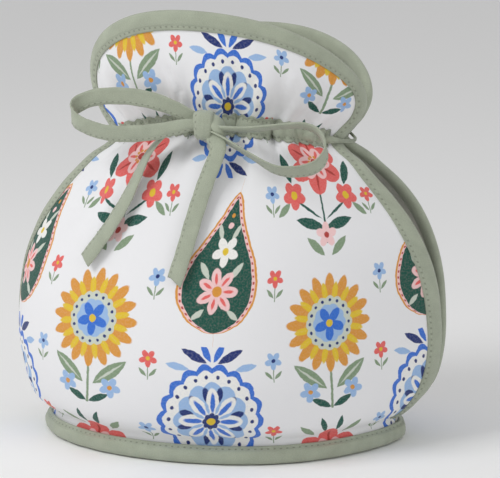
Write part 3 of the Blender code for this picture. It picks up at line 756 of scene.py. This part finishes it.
# The padded sheet: a fine grid laid out to the cut, stood up, with its thickness inwards
def buildPanel(panel, materials):
    half = panelSizes["columns"]
    bodyRows = int(panelSizes["lobeStart"] / panelSizes["rowStep"])
    rows = bodyRows + panelSizes["lobeRows"]
    bm = bmesh.new()
    layer = bm.loops.layers.uv.new("UVMap")
    bmesh.ops.create_grid(bm, x_segments=2 * half, y_segments=rows, size=0.5)
    places = {}
    for vert in bm.verts:
        share, row = (vert.co.x + 0.5) * 2 - 1, round((vert.co.y + 0.5) * rows)
        if row <= bodyRows:
            flat = panelSizes["lobeStart"] * row / bodyRows
            place = share * profileAt(flat).flatHalf, flat
        else:
            place = lobePlace(share, (row - bodyRows) / panelSizes["lobeRows"])
        places[vert] = place
        vert.co = clothPoint(panel, *place)
    offset = 0.0 if panel.facing < 0 else 33.0
    for face in bm.faces:
        for corner in face.loops:
            x, flat = places[corner.vert]
            corner[layer].uv = (x + offset, flat)
    made = makeObject(panel.name + "_cloth", bm, materials)
    if sum(face.normal.y for face in made.data.polygons) * panel.facing < 0:
        made.data.flip_normals()
    wall = made.modifiers.new("thickness", "SOLIDIFY")
    wall.thickness = panelSizes["thick"] * mm
    wall.offset = -1
    wall.material_offset = 1
    wall.material_offset_rim = 1
    return made


# The folded strip round the sides and the lobe, puckered a little by its stitches
def buildBinding(panel, material):
    edges = [((-profileAt(f).flatHalf, f), (1, 0)) for f in [9 + 3.1 * k for k in range(66)]]
    edges += [(None, 180 - 2.25 * k) for k in range(1, 80)]
    edges += [((profileAt(f).flatHalf, f), (-1, 0)) for f in [9 + 3.1 * k for k in range(65, -1, -1)]]
    width, leafThick, back = trimSizes["width"], trimSizes["leaf"], -panelSizes["thick"]
    section = (
        (width, 0.0), (width, 0.75), (width - 1.4, 0.55), (width - 2.8, leafThick), (4.4, leafThick + 0.15),
        (2.0, leafThick), (0.2, leafThick - 0.3), (-1.3, -0.3), (-1.7, back / 2), (-1.3, back + 0.3),
        (0.2, back - leafThick + 0.3), (2.0, back - leafThick), (4.4, back - leafThick - 0.15),
        (width - 2.8, back - leafThick), (width - 1.4, back - 0.55), (width, back - 0.75), (width, back),
        (4.0, back * 0.6), (4.0, back * 0.4),
    )
    marks = [
        width, width, width - 1.4, width - 2.8, 4.4, 2.0, 0.2, -1.3, -3.0, -1.3,
        0.2, 2.0, 4.4, width - 2.8, width - 1.4, width, width, 4.0, 4.0, width,
    ]
    rings = []
    travelled = 0.0
    last = None
    for place, inwards in edges:
        if place is None:
            x, v = rimPlace(inwards, 0.0)
            deepX, deepV = rimPlace(inwards, width)
            place = (x, panelSizes["lobeStart"] + v)
            inwards = ((deepX - x) / width, (deepV - v) / width)
        edge = clothPoint(panel, *place)
        if last is not None:
            travelled += (edge - last).length
        last = edge
        ring = []
        cached = {}
        for inset, height in section:
            reach = max(inset, 0.0)
            if reach not in cached:
                spot = (place[0] + inwards[0] * reach, place[1] + inwards[1] * reach)
                cached[reach] = (clothPoint(panel, *spot), clothNormal(panel, *spot))
            point, normal = cached[reach]
            if inset < 0:
                inner = clothPoint(panel, place[0] + inwards[0] * 3, place[1] + inwards[1] * 3)
                point = point + (point - inner).normalized() * -inset
            pucker = 0.12 * math.sin(travelled * 2 * math.pi / 7.2) if 2 < inset < 9 else 0.0
            ring.append(point + normal * (height + math.copysign(pucker, height)))
        rings.append(ring)
    return loftStrip(panel.name + "_edging", rings, marks, False, material)


def buildHem(material):
    base = bodyProfile[0]
    section = (
        (-6.2, 0.3), (-5.0, 0.0), (1.6, 0.0), (3.2, 0.8), (4.2, 2.2), (4.7, 4.4), (4.6, 6.6),
        (4.0, 8.3), (3.2, 9.1), (2.3, 9.4), (2.1, 10.3), (1.3, 11.0), (0.5, 10.9),
        (0.0, 10.2), (-1.6, 10.0), (-3.2, 10.6), (-4.2, 12.4),
        (-5.2, 12.8), (-6.4, 10.6), (-7.2, 7.0), (-7.0, 2.6),
    )
    marks = [
        -30.0, -28.0, -20.0, -3.0, -1.0, 1.6, 4.4, 6.8, 8.2, 9.1, 10.2,
        11.2, 12.0, 13.0, 18.0, 20.0, 22.0, 23.0, 26.0, 30.0, 34.0, 38.0,
    ]
    stations = 300
    rings = []
    for i in range(stations):
        turn = 2 * math.pi * i / stations
        across, out = math.cos(turn), math.sin(turn)
        normal = Vector((base.halfDepth * across, base.halfWidth * out, 0)).normalized()
        place = (base.shiftX + base.halfWidth * across, base.shiftY + base.halfDepth * out, 0)
        spot = Vector(place) + middleShift
        if out < 0 and across > 0:
            spot += normal * base.tuck * 3 * across ** 3 * out
        ring = []
        for k, (reach, height) in enumerate(section):
            puff = 0.22 * math.sin(i * 0.55 + 0.9 * math.sin(i * 0.13)) + 0.16 * math.sin(i * 1.31)
            if 3 <= k <= 12:
                reach += puff * (1.0 if 4 <= k <= 8 else 0.6)
                height += 0.35 * puff if k > 7 else 0.0
            ring.append(spot + normal * reach + upwards * height)
        rings.append(ring)
    return loftStrip("hem_roll", rings, marks, True, material)


# The gathered strip over the tape, with small ruffles along both its edges
def buildCasing(name, panel, shareFrom, shareTo, material):
    count = max(int(abs(shareTo - shareFrom) * 130), 24)
    low, high = casingSizes["low"], casingSizes["high"]
    rings = []
    marks = [0.0, 0.0, 1.2, 2.3, 3.6, 5.3, 7.1, 8.9, 10.6, 11.9, 13.0, 14.2, 14.2, 7.1, 0.0]
    flats = [low, low] + [low + step for step in (1.2, 2.3, 3.6, 5.3, 7.1, 8.9)]
    flats += [high - 3.6, high - 2.3, high - 1.2, high, high]
    lifts = (0.2, 1.15, 0.75, 1.5, 2.5, 3.0, 3.1, 3.0, 2.5, 1.5, 0.75, 1.15, 0.2)
    for i in range(count + 1):
        share = shareFrom + (shareTo - shareFrom) * i / count
        wave = math.sin(share * 62 + 1.5 * math.sin(share * 17)) + 0.6 * math.sin(share * 101 + 1.0)
        edgeWave = math.sin(share * 88 + 0.7) + 0.7 * math.sin(share * 140)
        ring = []
        for k, (flat, lift) in enumerate(zip(flats, lifts)):
            if k in (0, 1, 2):
                flat += 0.7 * edgeWave
            if k in (10, 11, 12):
                flat += 0.7 * math.sin(share * 93 + 2.0)
            x = share * profileAt(flat).flatHalf
            extra = 0.42 * wave if 3 <= k <= 9 else (0.30 * edgeWave if k in (1, 11) else 0.0)
            ring.append(clothPoint(panel, x, flat) + clothNormal(panel, x, flat, 2.5) * (lift + max(extra, -0.9)))
        middle = share * profileAt(202.0).flatHalf
        ring.append(clothPoint(panel, middle, 202.0) + clothNormal(panel, middle, 202.0, 2.5) * 0.2)
        rings.append(ring)
    return loftStrip(name, rings, marks, False, material)


def smoothPath(points, steps):
    path = []
    for i in range(len(points) - 1):
        a, b = points[i], points[i + 1]
        before, after = points[max(i - 1, 0)], points[min(i + 2, len(points) - 1)]
        for k in range(steps):
            u = k / steps
            path.append([
                0.5 * (2 * q + (r - p) * u + (2 * p - 5 * q + 4 * r - w) * u * u + (3 * q - p - 3 * r + w) * u ** 3)
                for p, q, r, w in zip(before, a, b, after)
            ])
    path.append(list(points[-1]))
    return path


# A folded tape along its strand, cupped a little across and narrowed where it enters the knot
def buildTape(name, table, hanging, slant, curl, material, pinch=(0.0, 0.0)):
    path = smoothPath(table, 9)
    centres = [middleShift + Vector(p[:3]) for p in path]
    spots = (-1.0, -0.94, -0.6, -0.2, 0.2, 0.6, 0.94, 1.0)
    rings = []
    travelled = 0.0
    for i, centre in enumerate(centres):
        lean = math.radians(path[i][3])
        if hanging:
            width = Vector((math.cos(lean), -math.sin(lean), 0))
        else:
            width = Vector((0, -math.sin(lean), math.cos(lean)))
        along = (centres[min(i + 1, len(centres) - 1)] - centres[max(i - 1, 0)]).normalized()
        width = (width - along * width.dot(along)).normalized()
        face = along.cross(width).normalized()
        if i:
            travelled += (centre - centres[i - 1]).length
        share = i / (len(centres) - 1)
        squeeze = 1 - pinch[0] * (1 - smoothStep(share, 0.0, 0.22)) - pinch[1] * smoothStep(share, 0.78, 1.0)
        half = trimSizes["tapeWidth"] / 2 * squeeze * (1 + 0.02 * math.sin(travelled * 0.5))
        cup = curl + (1 - squeeze) * 2.4
        ripple = 0.14 * math.sin(travelled * 1.75)
        ring = []
        for sideSign in (1, -1):
            for s in spots if sideSign > 0 else spots[::-1]:
                if sideSign < 0 and abs(s) == 1.0:
                    continue
                bulge = cup * (1 - s * s) + ripple * (s if abs(s) > 0.5 else 0)
                thick = trimSizes["tapeThick"] / 2 * (0.35 if abs(s) == 1.0 else 1.0)
                end = along * (slant * s) if i == len(centres) - 1 else Vector()
                out = face * (bulge - cup * 0.5 + sideSign * thick)
                ring.append(centre + width * (half * s) + out + end)
        rings.append(ring)
    marks = [5 * (s + 1) for s in spots] + [5 * (s + 1) for s in spots[::-1] if abs(s) != 1.0] + [0.0]
    return loftStrip(name, rings, marks, False, material)


# The tape round the neck, which shows where the casings stop and between the panels
def buildNeckTape(material):
    section = ((197.6, 0.0), (197.6, 1.1), (202.0, 1.35), (206.4, 1.1), (206.4, 0.0), (202.0, 0.2))
    rings = []
    for panel, order in ((frontPanel, 1), (backPanel, -1)):
        for k in range(61):
            share = order * (k / 30 - 1) * 0.9999
            ring = []
            lift = 0.5 + 2.7 * smoothStep(abs(share), 0.86, 0.925)
            for flat, more in section:
                x = share * profileAt(flat).flatHalf
                ring.append(clothPoint(panel, x, flat) + clothNormal(panel, x, flat, 2.5) * (lift + more))
            rings.append(ring)
        first = rings[-1]
        other = backPanel if panel is frontPanel else frontPanel
        nextRing = []
        for flat, more in section:
            x = order * 0.9999 * profileAt(flat).flatHalf
            nextRing.append(clothPoint(other, x, flat) + clothNormal(other, x, flat, 2.5) * (3.2 + more))
        for part in (0.25, 0.5, 0.75):
            bulge = Vector((order * 3.0 * math.sin(math.pi * part), 0, -0.6 * math.sin(math.pi * part)))
            rings.append([p * (1 - part) + q * part + bulge for p, q in zip(first, nextRing)])
    marks = [0.0, 1.0, 5.0, 9.0, 10.0, 12.0, 14.0]
    return loftStrip("neck_tape", rings, marks, True, material)


# The knot: a band wrapped over the strands and a rolled fold beside it
def buildKnot(material):
    rings = []
    for i in range(41):
        turn = 2 * math.pi * i / 40
        c, s = math.cos(turn), math.sin(turn)
        power = 2.6
        radius = (abs(c) ** power + abs(s) ** power) ** (-1 / power)
        out = Vector((0, c * radius * 7.0, s * radius * 8.8))
        ring = []
        for k in range(9):
            u = k / 4 - 1
            fat = 1.0 - 0.16 * abs(u) ** 3 + 0.035 * math.sin(u * 9 + turn * 2)
            waist = 1.0 + 0.10 * s
            ring.append(middleShift + knotSpot + Vector((u * 5.4 * waist, 0, 0)) + out * fat)
        rings.append(ring)
    bm = bmesh.new()
    layer = bm.loops.layers.uv.new("UVMap")
    bmesh.ops.create_grid(bm, x_segments=8, y_segments=40, size=0.5)
    spots = {}
    for vert in bm.verts:
        k, i = round((vert.co.x + 0.5) * 8), round((vert.co.y + 0.5) * 40)
        spots[vert] = k * 1.25, i * 1.2
        vert.co = rings[i][k]
    for face in bm.faces:
        for corner in face.loops:
            corner[layer].uv = spots[corner.vert]
    bmesh.ops.remove_doubles(bm, verts=bm.verts, dist=0.002)
    bmesh.ops.holes_fill(bm, edges=[edge for edge in bm.edges if edge.is_boundary], sides=0)
    roll = bmesh.ops.create_uvsphere(bm, u_segments=28, v_segments=20, radius=1.0)["verts"]
    for vert in roll:
        turn = math.atan2(vert.co.y, vert.co.x)
        ridge = 1 + 0.10 * math.sin(3 * turn + 3.2 * vert.co.z)
        vert.co = Vector((vert.co.x * 4.6 * ridge, vert.co.y * 5.6 * ridge, vert.co.z * 8.6))
    bmesh.ops.rotate(bm, cent=(0, 0, 0), matrix=Matrix.Rotation(math.radians(-28), 3, "Y"), verts=roll)
    bmesh.ops.translate(bm, vec=middleShift + knotSpot + Vector((7.4, -0.4, -0.8)), verts=roll)
    bmesh.ops.recalc_face_normals(bm, faces=bm.faces)
    return makeObject("knot", bm, [material])


print("materials")
printed = printMaterial()
lining = plainMaterial("plain_lining", "lining")
sageBinding = sageMaterial("sage_binding", (7.9,))
sageHem = sageMaterial("sage_hem", (9.1,))
sageCasing = sageMaterial("sage_casing", (2.2, 12.0))
sageTape = sageMaterial("sage_tape", (1.5,), 0.3)

print("panels")
cloths = {}
edgings = {}
for panel in (frontPanel, backPanel):
    cloths[panel.name] = buildPanel(panel, [printed, lining])
    edgings[panel.name] = buildBinding(panel, sageBinding)
print("hem and casings")
hem = buildHem(sageHem)
casings = (
    buildCasing("casing_front_left", frontPanel, -0.88, -0.135, sageCasing),
    buildCasing("casing_front_right", frontPanel, 0.045, 0.88, sageCasing),
    buildCasing("casing_back", backPanel, -0.88, 0.88, sageCasing),
)
print("tie")
tieParts = (
    buildNeckTape(sageTape),
    buildTape("loop_left", leftLoop, False, 0.0, 0.5, sageTape, (0.35, 0.35)),
    buildTape("loop_right", rightLoop, False, 0.0, 0.5, sageTape, (0.35, 0.35)),
    buildTape("tail_left", leftTail, True, 1.2, 0.6, sageTape, (0.4, 0.0)),
    buildTape("tail_right", rightTail, True, 2.4, 0.6, sageTape, (0.4, 0.0)),
    buildKnot(sageTape),
)

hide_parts("front_panel")
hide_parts("back_panel")
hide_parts("front_binding")
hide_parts("back_binding")
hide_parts("hem_band")
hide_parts("front_casing_left")
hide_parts("front_casing_right")
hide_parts("back_casing")
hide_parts("tie")
everything = list(cloths.values()) + list(edgings.values()) + [hem] + list(casings) + list(tieParts)
for piece in everything:
    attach(piece, "root")

print("camera and light")
scene = bpy.context.scene
floorMesh = bpy.data.meshes.new("floor")
bm = bmesh.new()
bmesh.ops.create_grid(bm, x_segments=1, y_segments=1, size=12.0)
bm.to_mesh(floorMesh)
bm.free()
floor = bpy.data.objects.new("floor", floorMesh)
scene.collection.objects.link(floor)
floorLook = bpy.data.materials.new("floor")
floorLook.use_nodes = True
floorShader = floorLook.node_tree.nodes["Principled BSDF"]
floorShader.inputs["Base Color"].default_value = (0.93, 0.93, 0.93, 1)
floorShader.inputs["Roughness"].default_value = 0.9
floorMesh.materials.append(floorLook)
floor.location.z = -0.0004

azimuth, distance, eyeHeight = math.radians(12), 1.30, 0.370
lensLength = 2166.7 * 36 / 500
ahead = Vector((-math.sin(azimuth), math.cos(azimuth), 0))
spot = middleShift * mm - ahead * distance + upwards * eyeHeight
yaw = math.atan((230 - 250) / 2166.7)
pitch = math.atan2(eyeHeight - 0.006, distance) - math.atan((421 - 239) / 2166.7)
level = Matrix.Rotation(yaw, 3, "Z") @ ahead
forward = (level * math.cos(pitch) - upwards * math.sin(pitch)).normalized()
cameraData = bpy.data.cameras.new("camera")
camera = bpy.data.objects.new("camera", cameraData)
scene.collection.objects.link(camera)
camera.location = spot
camera.rotation_euler = forward.to_track_quat("-Z", "Y").to_euler()
cameraData.sensor_width = 36
cameraData.lens = lensLength
cameraData.clip_start = 0.05
cameraData.clip_end = 20
scene.camera = camera

world = bpy.data.worlds.new("studio")
scene.world = world
world.use_nodes = True
backdrop = world.node_tree.nodes["Background"]
backdrop.inputs[0].default_value = (1.0, 1.0, 1.0, 1)
backdrop.inputs[1].default_value = 0.56


def softLight(name, place, size, power):
    data = bpy.data.lights.new(name, "AREA")
    data.size = size
    data.energy = power
    lamp = bpy.data.objects.new(name, data)
    scene.collection.objects.link(lamp)
    lamp.location = place
    lamp.rotation_euler = (Vector((0, 0, 0.12)) - Vector(place)).to_track_quat("-Z", "Y").to_euler()


softLight("key", (-1.0, -1.0, 1.35), 0.8, 15)
softLight("fill", (1.3, -0.7, 0.7), 1.2, 3)
scene.view_settings.view_transform = "Standard"
